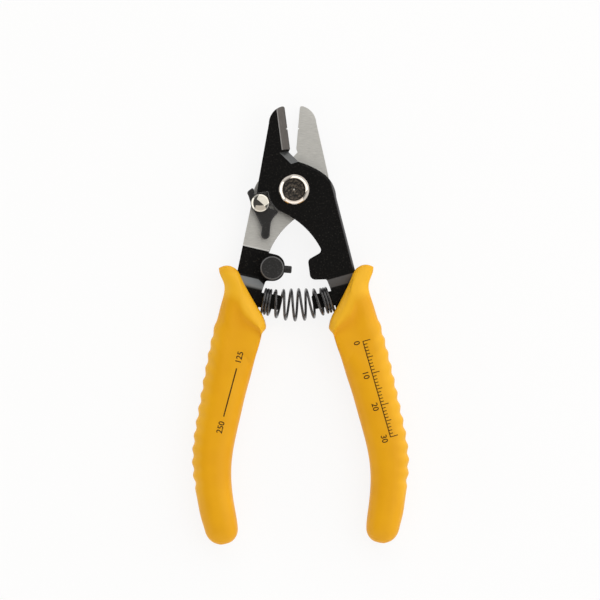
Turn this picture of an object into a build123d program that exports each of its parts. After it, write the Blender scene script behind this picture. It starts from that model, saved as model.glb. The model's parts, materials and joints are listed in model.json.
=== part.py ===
from build123d import *
import math
import os

# Fibre stripper: two stamped steel halves on one pivot, held open by a coil spring.
# Each half is drawn with the jaws closed, pivot on the Z axis and jaws towards +Y.
# The front half lies above the sliding plane Z = 0, the rear half below it.
# All lengths are in millimetres and all angles in degrees.

# Handles and frame
half_opening = 6.2
overall_half_thickness = 5.8

# Steel halves
plate_thickness = 3.0
grind_depth = 0.12
ground_length = 19.9
arm_lean = 8.0
joggle_start = 29.0
joggle_run = 2.6
edge_rounding = 0.3
lobe_top_rounding = 1.3
lobe_bottom_rounding = 1.7
arm_corner_rounding = 0.7
outer_chamfer_width = 0.7
outer_chamfer_depth = 0.45

# Jaws
jaw_length = 25.45
tip_rounding = 0.6
edge_overlap = 0.40
edge_foot = 12.45
edge_land = 0.6
bevel_width = 2.5
bevel_foot = 12.2
throat_bevel_width = 2.1
throat_bevel_reach = 2.9
throat_bevel_top = 0.1
throat_bevel_slant = 1.1
throat_bevel_low = 0.4
tool_margin = 2.0
notch_height = 18.6
notch_half_width = 0.28
strip_hole_radius = 0.09

# Pivot
pivot_radius = 3.36
pivot_clearance = 0.04
ring_outer_radius = 4.6
ring_height = 1.35
ring_side_height = 0.45
ring_bore_drop = 0.4
ring_crown_share = 0.55
pivot_end_height = 0.95
pivot_end_chamfer = 0.2
pivot_dish_radius = 30.0
pivot_dish_depth = 0.18
centre_mark_radius = 0.3
centre_mark_depth = 0.35
bolt_head_radius = 4.7
bolt_head_height = 1.9
bolt_head_rounding = 0.6
bolt_slot_width = 1.0
bolt_slot_depth = 0.8
washer_thickness = 0.4
washer_radius = 5.0
seat_gap = 0.02

# Latch, placed on the rear half
latch_x = -9.83
latch_y = -4.91
latch_hub_radius = 2.95
latch_thickness = 2.4
latch_hub_clearance = 0.12
latch_lift = 0.05
latch_tail_length = 10.7
latch_tail_radius = 1.3
latch_tail_x = 2.35
latch_chamfer = 0.2
hook_angle = 42.0
hook_rounding = 0.9
latch_rivet_radius = 1.5
latch_rivet_clearance = 0.04
latch_head_radius = 2.73
latch_head_height = 1.55
latch_washer_radius = 2.45
latch_washer_thickness = 0.3
rivet_tail_radius = 2.3
rivet_tail_height = 0.8
rivet_tail_rounding = 0.45
open_stop_gap = 0.06
hook_clearance = 0.12

# Closing stop, placed on the rear half
stop_x = -4.57
stop_y = -24.2
stop_radius = 3.58
stop_height = 4.3
stop_chamfer = 0.35
stop_shank_radius = 1.6
stop_screw_radius = 1.1
stop_screw_clearance = 0.03
stop_screw_height = 1.75
stop_screw_length = 9.0
stop_screw_chamfer = 0.25
stop_screw_slot_width = 0.4
stop_screw_slot_depth = 0.6
stop_contact_gap = 0.04
stop_lobe_margin = 0.17
stop_lobe_softening = 0.15
lobe_face_x = 1.38

# Return spring
wire_diameter = 0.8
coil_end_diameter = 8.1
coil_middle_diameter = 10.2
coil_turns = 12
close_turns = 2.5
easing_turns = 0.75
close_pitch = 0.86
coil_phase = 0.2
spring_bow = 18.0
seat_lean = 8.5
spring_seat_gap = 0.3
sections_per_turn = 16
wire_sides = 6

# Spring lugs on the arms
lug_height = -34.1
lug_width = 4.5
lug_reach = 1.05
lug_lean = 3.5
lug_root = 1.0
lug_tip_chamfer = 0.6

# Tangs inside the grips
tang_end = -84.0
tang_inner_end_x = 14.0
tang_outer_end_x = 19.3
grip_fit = 0.06

# Grips
grip_corner_radius = 3.9
corner_share_of_width = 0.46
corner_share_of_height = 0.72
pocket_margin = 4.0
grip_slide = 0.35
guard_rounding = 1.3
coil_relief = 0.35
coil_room_depth = 6.45
rib_pitch = 4.0
rib_count = 12
rib_depth = 0.42
rib_radius = 2.6
first_rib_groove = 7.9

# Reach of a cutting shape that passes right through the tool
far = 150.0

# Sizes that follow from those above
full_opening = 2 * half_opening
notch_depth = edge_overlap + strip_hole_radius
latch_distance = math.hypot(latch_x, latch_y)
boss_radius = latch_distance - latch_hub_radius - latch_hub_clearance
stop_tip_x = lobe_face_x - stop_contact_gap
seat_slope = math.tan(math.radians(seat_lean))


def turned(point, angle):
    """Point turned about the pivot, counter-clockwise seen from the front."""
    c = math.cos(math.radians(angle))
    s = math.sin(math.radians(angle))
    return (point[0] * c - point[1] * s, point[0] * s + point[1] * c)


# Place of the latch hub seen from the front half, at the open stop.
open_hub = turned((latch_x, latch_y), -full_opening)
shoulder_y = open_hub[1] + latch_hub_radius + open_stop_gap
hook_reach = shoulder_y - latch_y - hook_clearance

# Corners of a half, jaw on the left and arm on the right, seen from the front.
tip_corner = (edge_overlap, jaw_length)
tip_shoulder = (-0.45, jaw_length)
tip_arc_middle = (-3.2, 24.1)
jaw_back_top = (-4.95, 20.85)
jaw_back_slope = 0.3185
shoulder_corner = (jaw_back_top[0] - (jaw_back_top[1] - shoulder_y) * jaw_back_slope, shoulder_y)
boss_start = (-math.sqrt(boss_radius ** 2 - shoulder_y ** 2), shoulder_y)
boss_middle = turned((-boss_radius, 0), 20)
boss_end = turned((-boss_radius, 0), 45)
throat_notch = (-0.15, 11.5)
throat_end = (2.54, 8.1)
crown_middle = (6.3, 6.1)
crown_end = (9.7, 3.4)
neck_middle = (11.75, 0.2)
arm_top = (12.35, -4.0)
arm_bottom = (15.65, -31.2)
window_middle = (0.83, -10.68)
window_corner = (6.0, -19.7)
rear_boss_top = (-10.1, 4.7)
rear_boss_middle = (-9.0, -3.2)
rear_boss_end = (-3.7, -6.7)
rear_window_middle = (2.0, -11.9)
lobe_top_y = -21.6
lobe_bottom_y = -27.7
arm_inner_corner = (6.25, -28.2)
seat_top = (6.95, -30.9)
seat_bottom_y = -37.8
seat_bottom = (seat_top[0] + (seat_top[1] - seat_bottom_y) * seat_slope, seat_bottom_y)
seat_x = seat_top[0] + (seat_top[1] - lug_height) * seat_slope
tang_inner_shoulder = (8.9, -45.0)

# Corners of the latch lever round its hub. Those of the hook are drawn upright.
hook_side_x = -1.5
hook_back = [(-2.35, 1.65), (hook_side_x, 4.1)]
hook_front = [(0.75, hook_reach), (0.95, 4.6), (0.5, 3.7), (0.15, 2.8), (0, 0)]
lobe_root = (2.3, -1.1)
lobe_tip = (5.5, -2.05)
lobe_foot = (5.5, -2.6)
lobe_tip_rounding = 0.25
paddle_right_middle = (4.1, -4.5)
paddle_right_end = (latch_tail_x + latch_tail_radius, -6.6)
paddle_left_start = (latch_tail_x - latch_tail_radius, -7.2)
paddle_left_middle = (-0.55, -4.35)
paddle_root = (-2.65, -1.2)

# Corners of the guard round a grip's slanted mouth, each with its rounding.
guard_corners = [
    ((4.95, -41.1), 2.5),
    ((15.75, -24.75), 3.0),
    ((20.85, -25.15), 1.8),
    ((20.1, -28.5), 1.4),
    ((17.0, -29.3), 1.4),
    ((8.9, -41.5), 3.0),
    ((7.4, -45.2), 1.4),
    ((5.2, -44.0), 1.6),
]

# Stations of a grip from inside the guard to the heel: the inner edge, the outer edge
# and half the thickness.
grip_stations = [
    ((6.9, -42.0), (18.2, -25.9), 4.8),
    ((6.05, -44.6), (20.2, -27.4), 5.0),
    ((6.75, -48.0), (18.75, -31.0), 5.1),
    ((7.25, -51.0), (18.65, -33.9), 5.35),
    ((7.75, -54.0), (19.35, -38.0), 5.75),
    ((8.5, -58.5), (20.7, -45.5), 6.0),
    ((9.5, -64.0), (22.15, -57.0), 6.05),
    ((10.5, -71.0), (23.2, -68.5), 6.05),
    ((11.65, -80.0), (24.1, -79.5), 6.05),
    ((11.65, -88.0), (23.35, -88.5), 6.05),
    ((10.5, -94.8), (21.5, -95.5), 6.05),
    ((9.2, -99.8), (20.0, -100.8), 6.0),
    ((8.35, -103.4), (18.45, -104.6), 5.9),
    ((8.4, -105.7), (17.6, -106.8), 5.4),
    ((9.3, -107.4), (16.3, -108.3), 4.5),
    ((10.8, -108.7), (14.6, -109.2), 3.2),
    ((12.0, -109.2), (13.4, -109.4), 1.6),
]
back_stations = grip_stations[4:12]


def nearest(shapes, places):
    """The shape nearest to each of the given places of an outline."""
    picked = []
    for place in places:
        target = Vector(*place)
        picked.append(min(shapes, key=lambda shape: (shape.center() - target).length))
    return picked


def round_at(face, corners, radius):
    """Face with the corners nearest to the given points rounded."""
    return fillet(nearest(face.vertices(), corners), radius)


def jaw_lines():
    """Cutting edge with its strip notch, the tip and the throat of a half."""
    notch_low = notch_height - notch_half_width
    notch_high = notch_height + notch_half_width
    notch_root = edge_overlap - notch_depth
    return [
        Line(throat_end, throat_notch),
        Line(throat_notch, (edge_overlap, edge_foot)),
        Line((edge_overlap, edge_foot), (edge_overlap, notch_low)),
        Line((edge_overlap, notch_low), (notch_root, notch_height)),
        Line((notch_root, notch_height), (edge_overlap, notch_high)),
        Line((edge_overlap, notch_high), tip_corner),
        Line(tip_corner, tip_shoulder),
        ThreePointArc(tip_shoulder, tip_arc_middle, jaw_back_top),
    ]


def shoulder_lines():
    """Back of the front jaw, the latch shoulder and the hub recess round the pivot."""
    return [
        Line(jaw_back_top, shoulder_corner),
        Line(shoulder_corner, boss_start),
        ThreePointArc(boss_start, boss_middle, boss_end),
        ThreePointArc(boss_end, window_middle, window_corner),
    ]


def plain_boss_lines():
    """Back of the rear jaw and its round boss, which has no latch shoulder."""
    return [
        Line(jaw_back_top, rear_boss_top),
        ThreePointArc(rear_boss_top, rear_boss_middle, rear_boss_end),
        ThreePointArc(rear_boss_end, rear_window_middle, window_corner),
    ]


def arm_lines(lobe_top, lobe_bottom):
    """Stop lobe, spring seat, tang and the outer edge of the arm up to the crown."""
    return [
        Line(window_corner, lobe_top),
        Line(lobe_top, lobe_bottom),
        Line(lobe_bottom, arm_inner_corner),
        Line(arm_inner_corner, seat_top),
        Line(seat_top, seat_bottom),
        Line(seat_bottom, tang_inner_shoulder),
        Line(tang_inner_shoulder, (tang_inner_end_x, tang_end)),
        Line((tang_inner_end_x, tang_end), (tang_outer_end_x, tang_end)),
        Line((tang_outer_end_x, tang_end), arm_bottom),
        Line(arm_bottom, arm_top),
        ThreePointArc(arm_top, neck_middle, crown_end),
        ThreePointArc(crown_end, crown_middle, throat_end),
    ]


def lug_outline():
    """Flat lug that the end of the spring sits on, standing out from the spring seat."""
    length = seat_x - lug_reach
    blank = Rectangle(length + lug_root, lug_width)
    blank = chamfer(blank.vertices().group_by(Axis.X)[0], lug_tip_chamfer)
    blank = Pos((lug_root - length) / 2, 0) * blank
    return Pos(seat_x, lug_height) * Rot(0, 0, lug_lean) * blank


def front_outline():
    """Outline of the front half, with the latch shoulder and the flat stop lobe."""
    lobe_top = (lobe_face_x, lobe_top_y)
    lobe_bottom = (lobe_face_x, lobe_bottom_y)
    face = make_face(jaw_lines() + shoulder_lines() + arm_lines(lobe_top, lobe_bottom))
    face = round_at(face, [lobe_top, window_corner], lobe_top_rounding)
    face = round_at(face, [lobe_bottom], lobe_bottom_rounding)
    face = round_at(face, [arm_inner_corner], arm_corner_rounding)
    face = round_at(face, [tip_corner], tip_rounding)
    face = round_at(face, [shoulder_corner, (edge_overlap, edge_foot)], edge_rounding)
    return face + lug_outline()


def rear_outline():
    """Outline of the rear half, with a round lobe under the stop post."""
    lobe_radius = stop_radius + stop_lobe_margin
    lobe_x = -stop_x - lobe_radius
    lobe_top = (lobe_x, stop_y + lobe_radius)
    lobe_bottom = (lobe_x, stop_y - lobe_radius)
    face = make_face(jaw_lines() + plain_boss_lines() + arm_lines(lobe_top, lobe_bottom))
    face = round_at(face, [lobe_top, lobe_bottom], lobe_radius - stop_lobe_softening)
    face = round_at(face, [arm_inner_corner], arm_corner_rounding)
    face = round_at(face, [tip_corner], tip_rounding)
    face = round_at(face, [(edge_overlap, edge_foot)], edge_rounding)
    return face + lug_outline()


def arm_plane():
    """Plane whose X runs down the arm and whose Y is the tool's Z."""
    lean = math.radians(arm_lean)
    down = (math.sin(lean), -math.cos(lean), 0)
    across = (down[1], -down[0], 0)
    return Plane(origin=(0, 0, 0), x_dir=down, z_dir=across)


def joggle_profile():
    """Side profile of a half: flat in its own layer, then bent to the middle plane."""
    half = plate_thickness / 2
    slope = math.atan2(half, joggle_run)
    under = plate_thickness * math.tan(slope / 2)
    bend_start = joggle_start
    bend_end = joggle_start + joggle_run
    profile = Polyline(
        (-far, plate_thickness),
        (bend_start, plate_thickness),
        (bend_end, half),
        (far, half),
        (far, -half),
        (bend_end - under, -half),
        (bend_start - under, -grind_depth),
        (ground_length + grind_depth, -grind_depth),
        (ground_length, 0),
        (-far, 0),
        close=True,
    )
    return make_face(profile)


def joggle_envelope(clearance=0):
    """Space between the two faces of a half, widened all round by a clearance."""
    profile = joggle_profile()
    if clearance:
        profile = offset(profile, clearance, kind=Kind.INTERSECTION)
    return extrude(arm_plane() * profile, far, both=True)


def bevel_wedge(high_x, low_x):
    """Section ground off from a bevel's upper edge down to the thin land left below it."""
    rise = (plate_thickness - edge_land) / (low_x - high_x)
    return make_face(Polyline(
        (high_x, plate_thickness),
        (low_x, edge_land),
        (low_x + tool_margin, edge_land - tool_margin * rise),
        (low_x + tool_margin, plate_thickness + tool_margin),
        (high_x, plate_thickness + tool_margin),
        close=True,
    ))


def edge_bevel():
    """Wedge ground off along the cutting edge."""
    length = jaw_length - bevel_foot + tool_margin
    face = Plane.XZ * bevel_wedge(edge_overlap - bevel_width, edge_overlap)
    return Pos(0, bevel_foot, 0) * extrude(face, -length)


def throat_bevel():
    """Wedge ground off along the slanted throat below the cutting edge."""
    along = (throat_end[0] - throat_notch[0], throat_end[1] - throat_notch[1])
    length = math.hypot(*along)
    direction = (along[0] / length, along[1] / length, 0)
    outward = (-direction[1], direction[0], 0)
    frame = Plane(origin=(throat_notch[0], throat_notch[1], 0), x_dir=outward, z_dir=direction)
    solid = extrude(frame * bevel_wedge(-throat_bevel_width, 0), 2 * length, both=True)
    top_y = throat_notch[1] + throat_bevel_top
    field = Polyline(
        (throat_notch[0] - throat_bevel_reach, top_y),
        (throat_notch[0] + throat_bevel_reach, top_y),
        (throat_end[0] + throat_bevel_reach, throat_end[1] - throat_bevel_low + throat_bevel_slant),
        (throat_notch[0], throat_end[1] - throat_bevel_low),
        close=True,
    )
    return solid & extrude(make_face(field), 2 * plate_thickness, both=True)


def finish_plate(outline):
    """Solid of a half from its outline: bends, ground face, bevels and pivot bore."""
    blank = extrude(outline, plate_thickness)
    arm_middle = ((arm_top[0] + arm_bottom[0]) / 2, (arm_top[1] + arm_bottom[1]) / 2)
    rim = nearest(blank.edges().group_by(Axis.Z)[-1], [
        (arm_middle[0], arm_middle[1], plate_thickness),
        (neck_middle[0], neck_middle[1], plate_thickness),
    ])
    top = blank.faces().sort_by(Axis.Z)[-1]
    blank = chamfer(rim, outer_chamfer_width, outer_chamfer_depth, reference=top)
    blank += extrude(outline, -plate_thickness)
    blank &= joggle_envelope()
    blank = blank - edge_bevel() - throat_bevel()
    return blank - Cylinder(pivot_radius + pivot_clearance, 4 * plate_thickness)


def rear_side(shape):
    """Shape drawn like the front half, turned over to be the rear half."""
    return Rot(0, 180, 0) * shape


def front_blade():
    return finish_plate(front_outline())


def rear_blade():
    plate = rear_side(finish_plate(rear_outline()))
    rivet = latch_rivet_radius + seat_gap
    post = stop_shank_radius + seat_gap
    plate -= Pos(latch_x, latch_y) * Cylinder(rivet, 4 * plate_thickness)
    return plate - Pos(stop_x, stop_y) * Cylinder(post, 4 * plate_thickness)


def pivot_bolt():
    """Bolt through both halves, its dished end flush inside the ring nut."""
    head_top = -plate_thickness - washer_thickness - 2 * seat_gap
    end = plate_thickness + pivot_end_height
    shank = Pos(0, 0, head_top) * Cylinder(
        pivot_radius, end - head_top, align=(Align.CENTER, Align.CENTER, Align.MIN)
    )
    shank = chamfer(shank.edges().group_by(Axis.Z)[-1], pivot_end_chamfer)
    head = Pos(0, 0, head_top) * Cylinder(
        bolt_head_radius, bolt_head_height, align=(Align.CENTER, Align.CENTER, Align.MAX)
    )
    head = fillet(head.edges().group_by(Axis.Z)[0], bolt_head_rounding)
    slot = Box(
        3 * bolt_head_radius,
        bolt_slot_width,
        bolt_slot_depth,
        align=(Align.CENTER, Align.CENTER, Align.MIN),
    )
    head -= Pos(0, 0, head_top - bolt_head_height) * slot
    dish = Pos(0, 0, end + pivot_dish_radius - pivot_dish_depth) * Sphere(pivot_dish_radius)
    mark = Pos(0, 0, end - centre_mark_depth) * Cone(
        0, centre_mark_radius, centre_mark_depth, align=(Align.CENTER, Align.CENTER, Align.MIN)
    )
    return shank + head - dish - mark


def pivot_ring_nut():
    """Bright domed ring round the end of the bolt."""
    bore = pivot_radius + seat_gap
    base = plate_thickness + seat_gap
    top = base + ring_height
    side_top = base + ring_side_height
    crown_x = bore + ring_crown_share * (ring_outer_radius - bore)
    lip = top - ring_bore_drop
    profile = make_face(
        [
            Line((bore, base), (ring_outer_radius, base)),
            Line((ring_outer_radius, base), (ring_outer_radius, side_top)),
            Spline(
                (ring_outer_radius, side_top),
                (crown_x, top),
                (bore, lip),
                tangents=[(0, 1), (-0.6, -1)],
            ),
            Line((bore, lip), (bore, base)),
        ]
    )
    return revolve(Plane.XZ * profile, Axis.Z)


def pivot_washer():
    """Spring washer between the bolt's head and the rear half."""
    top = -plate_thickness - seat_gap
    ring = Pos(0, 0, top) * Cylinder(
        washer_radius, washer_thickness, align=(Align.CENTER, Align.CENTER, Align.MAX)
    )
    return ring - Cylinder(pivot_radius + seat_gap, 6 * plate_thickness)


def latch_hook():
    """Hook that catches under the shoulder, narrowed behind its end."""
    corner = (hook_side_x, hook_reach)
    blank = make_face(Polyline(*hook_back, corner, *hook_front, close=True))
    return Rot(0, 0, hook_angle) * round_at(blank, [corner], hook_rounding)


def latch_paddle():
    """Side lobe and round-ended tail that the thumb pushes."""
    right, left = paddle_right_end[0], paddle_left_start[0]
    tail_y = latch_tail_radius - latch_tail_length
    blank = make_face([
        Line(lobe_root, lobe_tip),
        Line(lobe_tip, lobe_foot),
        ThreePointArc(lobe_foot, paddle_right_middle, paddle_right_end),
        Line(paddle_right_end, (right, tail_y)),
        ThreePointArc((right, tail_y), (latch_tail_x, -latch_tail_length), (left, tail_y)),
        Line((left, tail_y), paddle_left_start),
        ThreePointArc(paddle_left_start, paddle_left_middle, paddle_root),
        Line(paddle_root, lobe_root),
    ])
    return round_at(blank, [lobe_tip], lobe_tip_rounding)


def latch_lever():
    """Thumb lever: hub, hook, side lobe and tail, loose on its rivet."""
    outline = Circle(latch_hub_radius) + latch_hook() + latch_paddle()
    solid = extrude(outline, latch_thickness)
    top = solid.faces().sort_by(Axis.Z)[-1]
    solid = chamfer(top.outer_wire().edges(), latch_chamfer)
    solid -= Cylinder(latch_rivet_radius + latch_rivet_clearance, 4 * latch_thickness)
    return Pos(latch_x, latch_y, latch_lift) * solid


def latch_top():
    return latch_lift + latch_thickness


def latch_washer():
    """Thin washer between the lever and the rivet's head."""
    ring = Cylinder(
        latch_washer_radius, latch_washer_thickness, align=(Align.CENTER, Align.CENTER, Align.MIN)
    )
    ring -= Cylinder(latch_rivet_radius + seat_gap, 4 * latch_thickness)
    return Pos(latch_x, latch_y, latch_top() + seat_gap) * ring


def latch_rivet():
    """Domed rivet through the washer, the lever and the rear half."""
    under_head = latch_top() + latch_washer_thickness + 2 * seat_gap
    dome_radius = (latch_head_radius ** 2 + latch_head_height ** 2) / (2 * latch_head_height)
    dome = Pos(0, 0, under_head + latch_head_height - dome_radius) * Sphere(dome_radius)
    dome &= Pos(0, 0, under_head) * Cylinder(
        dome_radius, dome_radius, align=(Align.CENTER, Align.CENTER, Align.MIN)
    )
    low = -plate_thickness
    shank = Pos(0, 0, low) * Cylinder(
        latch_rivet_radius, under_head - low, align=(Align.CENTER, Align.CENTER, Align.MIN)
    )
    tail = Pos(0, 0, low) * Cylinder(
        rivet_tail_radius, rivet_tail_height, align=(Align.CENTER, Align.CENTER, Align.MAX)
    )
    tail = fillet(tail.edges().group_by(Axis.Z)[0], rivet_tail_rounding)
    return Pos(latch_x, latch_y) * (dome + shank + tail)


def stop_post():
    """Turned post riveted into the rear half, drilled across for the stop screw."""
    base = grind_depth
    disc = Pos(0, 0, base) * Cylinder(
        stop_radius, stop_height - base, align=(Align.CENTER, Align.CENTER, Align.MIN)
    )
    disc = chamfer(disc.edges().group_by(Axis.Z)[-1], stop_chamfer)
    shank = Pos(0, 0, base) * Cylinder(
        stop_shank_radius, plate_thickness + base, align=(Align.CENTER, Align.CENTER, Align.MAX)
    )
    tail = Pos(0, 0, -plate_thickness) * Cylinder(
        rivet_tail_radius, rivet_tail_height, align=(Align.CENTER, Align.CENTER, Align.MAX)
    )
    tail = fillet(tail.edges().group_by(Axis.Z)[0], rivet_tail_rounding)
    cross = Pos(0, 0, stop_screw_height) * Rot(0, 90, 0) * Cylinder(
        stop_screw_radius + stop_screw_clearance, 4 * stop_radius
    )
    return Pos(stop_x, stop_y) * (disc + shank + tail - cross)


def stop_screw():
    """Adjusting screw whose tip meets the front half's lobe when the jaws close."""
    middle = stop_tip_x - stop_screw_length / 2
    screw = Rot(0, 90, 0) * Cylinder(stop_screw_radius, stop_screw_length)
    screw = chamfer(screw.edges().filter_by(GeomType.CIRCLE), stop_screw_chamfer)
    slot = Pos(-stop_screw_length / 2, 0, 0) * Box(
        2 * stop_screw_slot_depth, stop_screw_slot_width, 3 * stop_screw_radius
    )
    return Pos(middle, stop_y, stop_screw_height) * (screw - slot)


def grip_section(inner, outer, half_height):
    """Rounded rectangle across a grip, from its inner to its outer edge."""
    across = (outer[0] - inner[0], outer[1] - inner[1], 0)
    width = math.hypot(across[0], across[1])
    centre = ((inner[0] + outer[0]) / 2, (inner[1] + outer[1]) / 2, 0)
    heading = (across[1], -across[0], 0)
    plane = Plane(origin=centre, x_dir=across, z_dir=heading)
    widest = min(corner_share_of_width * width, corner_share_of_height * half_height)
    corner = min(grip_corner_radius, widest)
    return plane * RectangleRounded(width, 2 * half_height, corner)


def guard():
    """Raised rim round the slanted mouth of a grip, rounded over on both faces."""
    outline = make_face(Polyline(*[corner for corner, radius in guard_corners], close=True))
    for corner, radius in guard_corners:
        outline = round_at(outline, [corner], radius)
    solid = extrude(outline, overall_half_thickness, both=True)
    rims = solid.edges().group_by(Axis.Z)
    return fillet(rims[0] + rims[-1], guard_rounding)


def tang_pocket():
    """Slot in a grip that fits its arm and tang on every side."""
    face = make_face(Polyline(
        (seat_top[0] - pocket_margin, seat_top[1] + pocket_margin),
        (seat_top[0] - pocket_margin, seat_bottom_y),
        seat_bottom,
        tang_inner_shoulder,
        (tang_inner_end_x, tang_end),
        (tang_outer_end_x, tang_end),
        arm_bottom,
        arm_top,
        close=True,
    ))
    face = offset(face, grip_fit, kind=Kind.INTERSECTION)
    return extrude(face, far, both=True) & joggle_envelope(grip_fit)


def coil_room():
    """Round recess beside the spring seat that keeps the grip clear of the end coils."""
    radius = coil_end_diameter / 2 + coil_relief
    room = Cylinder(radius, coil_room_depth, align=(Align.CENTER, Align.CENTER, Align.MIN))
    return Pos(seat_x, lug_height) * Rot(0, 0, seat_lean) * Rot(0, -90, 0) * room


def grip_body():
    """Outside of a moulded grip: slanted mouth, guard, ribbed back and heel."""
    body = loft([grip_section(*station) for station in grip_stations])
    body &= Box(4 * far, 4 * far, 2 * overall_half_thickness)
    body += guard()
    back = Spline(*[station[1] for station in back_stations])
    for index in range(rib_count):
        share = (first_rib_groove + index * rib_pitch) / back.length
        place = back.position_at(share)
        heading = back.tangent_at(share)
        out = Vector(-heading.Y, heading.X, 0) * (rib_radius - rib_depth)
        groove = Cylinder(rib_radius, 4 * overall_half_thickness)
        body -= Pos(place.X + out.X, place.Y + out.Y) * groove
    return body


def grip(slide):
    """Grip pushed down its arm by a small distance from the middle place."""
    lean = math.radians(arm_lean)
    body = Pos(slide * math.sin(lean), -slide * math.cos(lean)) * grip_body()
    return body - tang_pocket() - coil_room()


def right_grip():
    return grip(grip_slide)


def left_grip():
    return rear_side(grip(-grip_slide))


def spring_axis():
    """Circle that the bowed spring follows at rest: its centre, radius and half angle."""
    seat = turned((seat_x, lug_height), half_opening)
    half_angle = math.radians(spring_bow)
    radius = seat[0] / math.sin(half_angle)
    centre_y = seat[1] + radius * math.cos(half_angle)
    return centre_y, radius, half_angle


def return_spring():
    """Barrel coil, close-wound at both ends, lofted through sections of its wire."""
    centre_y, radius, half_angle = spring_axis()
    length = 2 * radius * half_angle - wire_diameter - 2 * spring_seat_gap
    free_turns = coil_turns - 2 * close_turns - 2 * easing_turns
    closed = 2 * close_turns * close_pitch
    free_pitch = (length - closed - easing_turns * close_pitch) / (free_turns + easing_turns)

    def advance(turn):
        """Distance along the axis after a number of turns."""
        if turn > coil_turns / 2:
            return length - advance(coil_turns - turn)
        eased = min(max(turn - close_turns, 0), easing_turns)
        free = max(turn - close_turns - easing_turns, 0)
        ramp = eased * close_pitch + eased ** 2 / (2 * easing_turns) * (free_pitch - close_pitch)
        return min(turn, close_turns) * close_pitch + ramp + free * free_pitch

    def wire_point(turn):
        """Centre of the wire after a number of turns."""
        share = advance(turn) / length
        bulge = math.sin(math.pi * share) ** 2
        coil = coil_end_diameter + (coil_middle_diameter - coil_end_diameter) * bulge
        coil_radius = (coil - wire_diameter) / 2
        start = -half_angle + (wire_diameter / 2 + spring_seat_gap) / radius
        bow = start + advance(turn) / radius
        swing = 2 * math.pi * (turn - coil_turns / 2 + coil_phase)
        from_centre = radius + coil_radius * math.cos(swing)
        return Vector(
            from_centre * math.sin(bow),
            centre_y - from_centre * math.cos(bow),
            -coil_radius * math.sin(swing),
        )

    sections = []
    count = int(coil_turns * sections_per_turn)
    step = 0.16 / sections_per_turn
    for index in range(count + 1):
        turn = index / sections_per_turn
        along = wire_point(min(turn + step, coil_turns)) - wire_point(max(turn - step, 0))
        side = Vector(0, 0, 1).cross(along)
        plane = Plane(origin=wire_point(turn), z_dir=along, x_dir=side)
        sections.append(plane * RegularPolygon(wire_diameter / 2, wire_sides))
    return loft(sections, ruled=True)


def at_rest_front(shape):
    return Rot(0, 0, half_opening) * shape


def at_rest_rear(shape):
    return Rot(0, 0, -half_opening) * shape


pieces = {
    "rear_blade": at_rest_rear(rear_blade()),
    "front_blade": at_rest_front(front_blade()),
    "left_grip": at_rest_rear(left_grip()),
    "right_grip": at_rest_front(right_grip()),
    "pivot_bolt": pivot_bolt(),
    "pivot_ring_nut": pivot_ring_nut(),
    "pivot_washer": pivot_washer(),
    "latch_lever": at_rest_rear(latch_lever()),
    "latch_washer": at_rest_rear(latch_washer()),
    "latch_rivet": at_rest_rear(latch_rivet()),
    "stop_post": at_rest_rear(stop_post()),
    "stop_screw": at_rest_rear(stop_screw()),
    "return_spring": return_spring(),
}

# The origin lies under the middle of the whole tool, on the surface that it rests on.
box = Compound(children=[Compound(piece.wrapped) for piece in pieces.values()]).bounding_box()
shift = Pos(
    -(box.min.X + box.max.X) / 2,
    -(box.min.Y + box.max.Y) / 2,
    overall_half_thickness,
)

os.makedirs("parts", exist_ok=True)
for name, piece in pieces.items():
    export_step(shift * piece, f"parts/{name}.step")
print("pivot at", round(shift.position.X, 4), round(shift.position.Y, 4), round(shift.position.Z, 4))
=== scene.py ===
import json
import math

import bmesh
import bpy
import numpy as np
from mathutils import Matrix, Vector
from bpy.props import FloatProperty, FloatVectorProperty, IntProperty, PointerProperty


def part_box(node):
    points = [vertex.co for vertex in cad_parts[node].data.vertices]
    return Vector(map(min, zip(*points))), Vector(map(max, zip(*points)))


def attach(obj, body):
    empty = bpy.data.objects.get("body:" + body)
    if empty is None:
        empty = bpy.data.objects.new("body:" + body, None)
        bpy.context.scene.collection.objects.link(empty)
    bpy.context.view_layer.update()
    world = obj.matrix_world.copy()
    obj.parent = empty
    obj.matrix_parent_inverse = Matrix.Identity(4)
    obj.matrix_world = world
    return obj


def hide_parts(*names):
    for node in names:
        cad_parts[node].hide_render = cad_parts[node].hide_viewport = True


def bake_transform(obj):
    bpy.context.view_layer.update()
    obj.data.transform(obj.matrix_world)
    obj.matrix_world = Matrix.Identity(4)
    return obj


bl_info = {
    "name": "Fibre stripper",
    "version": (1, 0, 0),
    "blender": (4, 5, 0),
    "location": "View3D > Sidebar > Stripper",
    "description": "Surfaces and finishes of a fibre stripper, set on its solid model",
    "category": "Object",
}

# The solid model, and the places on it that the finishes start from
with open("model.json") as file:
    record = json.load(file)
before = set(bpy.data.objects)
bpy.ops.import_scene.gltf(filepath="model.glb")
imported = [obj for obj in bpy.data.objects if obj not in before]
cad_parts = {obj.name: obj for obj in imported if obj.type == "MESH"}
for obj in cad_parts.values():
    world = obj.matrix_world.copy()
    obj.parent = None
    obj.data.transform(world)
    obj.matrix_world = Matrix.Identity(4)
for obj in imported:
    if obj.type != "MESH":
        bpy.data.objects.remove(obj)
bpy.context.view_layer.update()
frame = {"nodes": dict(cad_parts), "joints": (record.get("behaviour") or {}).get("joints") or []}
JOINTS = {joint["name"]: joint for joint in frame["joints"]}
PIVOT = np.array(JOINTS["handle_close"]["pos_m"], float)
HALF_OPENING = JOINTS["handle_close"]["range_deg"][1] / 2
STOP_AXIS = tuple(JOINTS["stop_adjust"]["axis"])
MM = 0.001
ARM_LEAN = math.radians(8.0)
DOWN_ARM = np.array([math.sin(ARM_LEAN), -math.cos(ARM_LEAN)])


# Shapes drawn on a closed half: pivot at the origin, jaws towards +Y, millimetres

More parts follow.
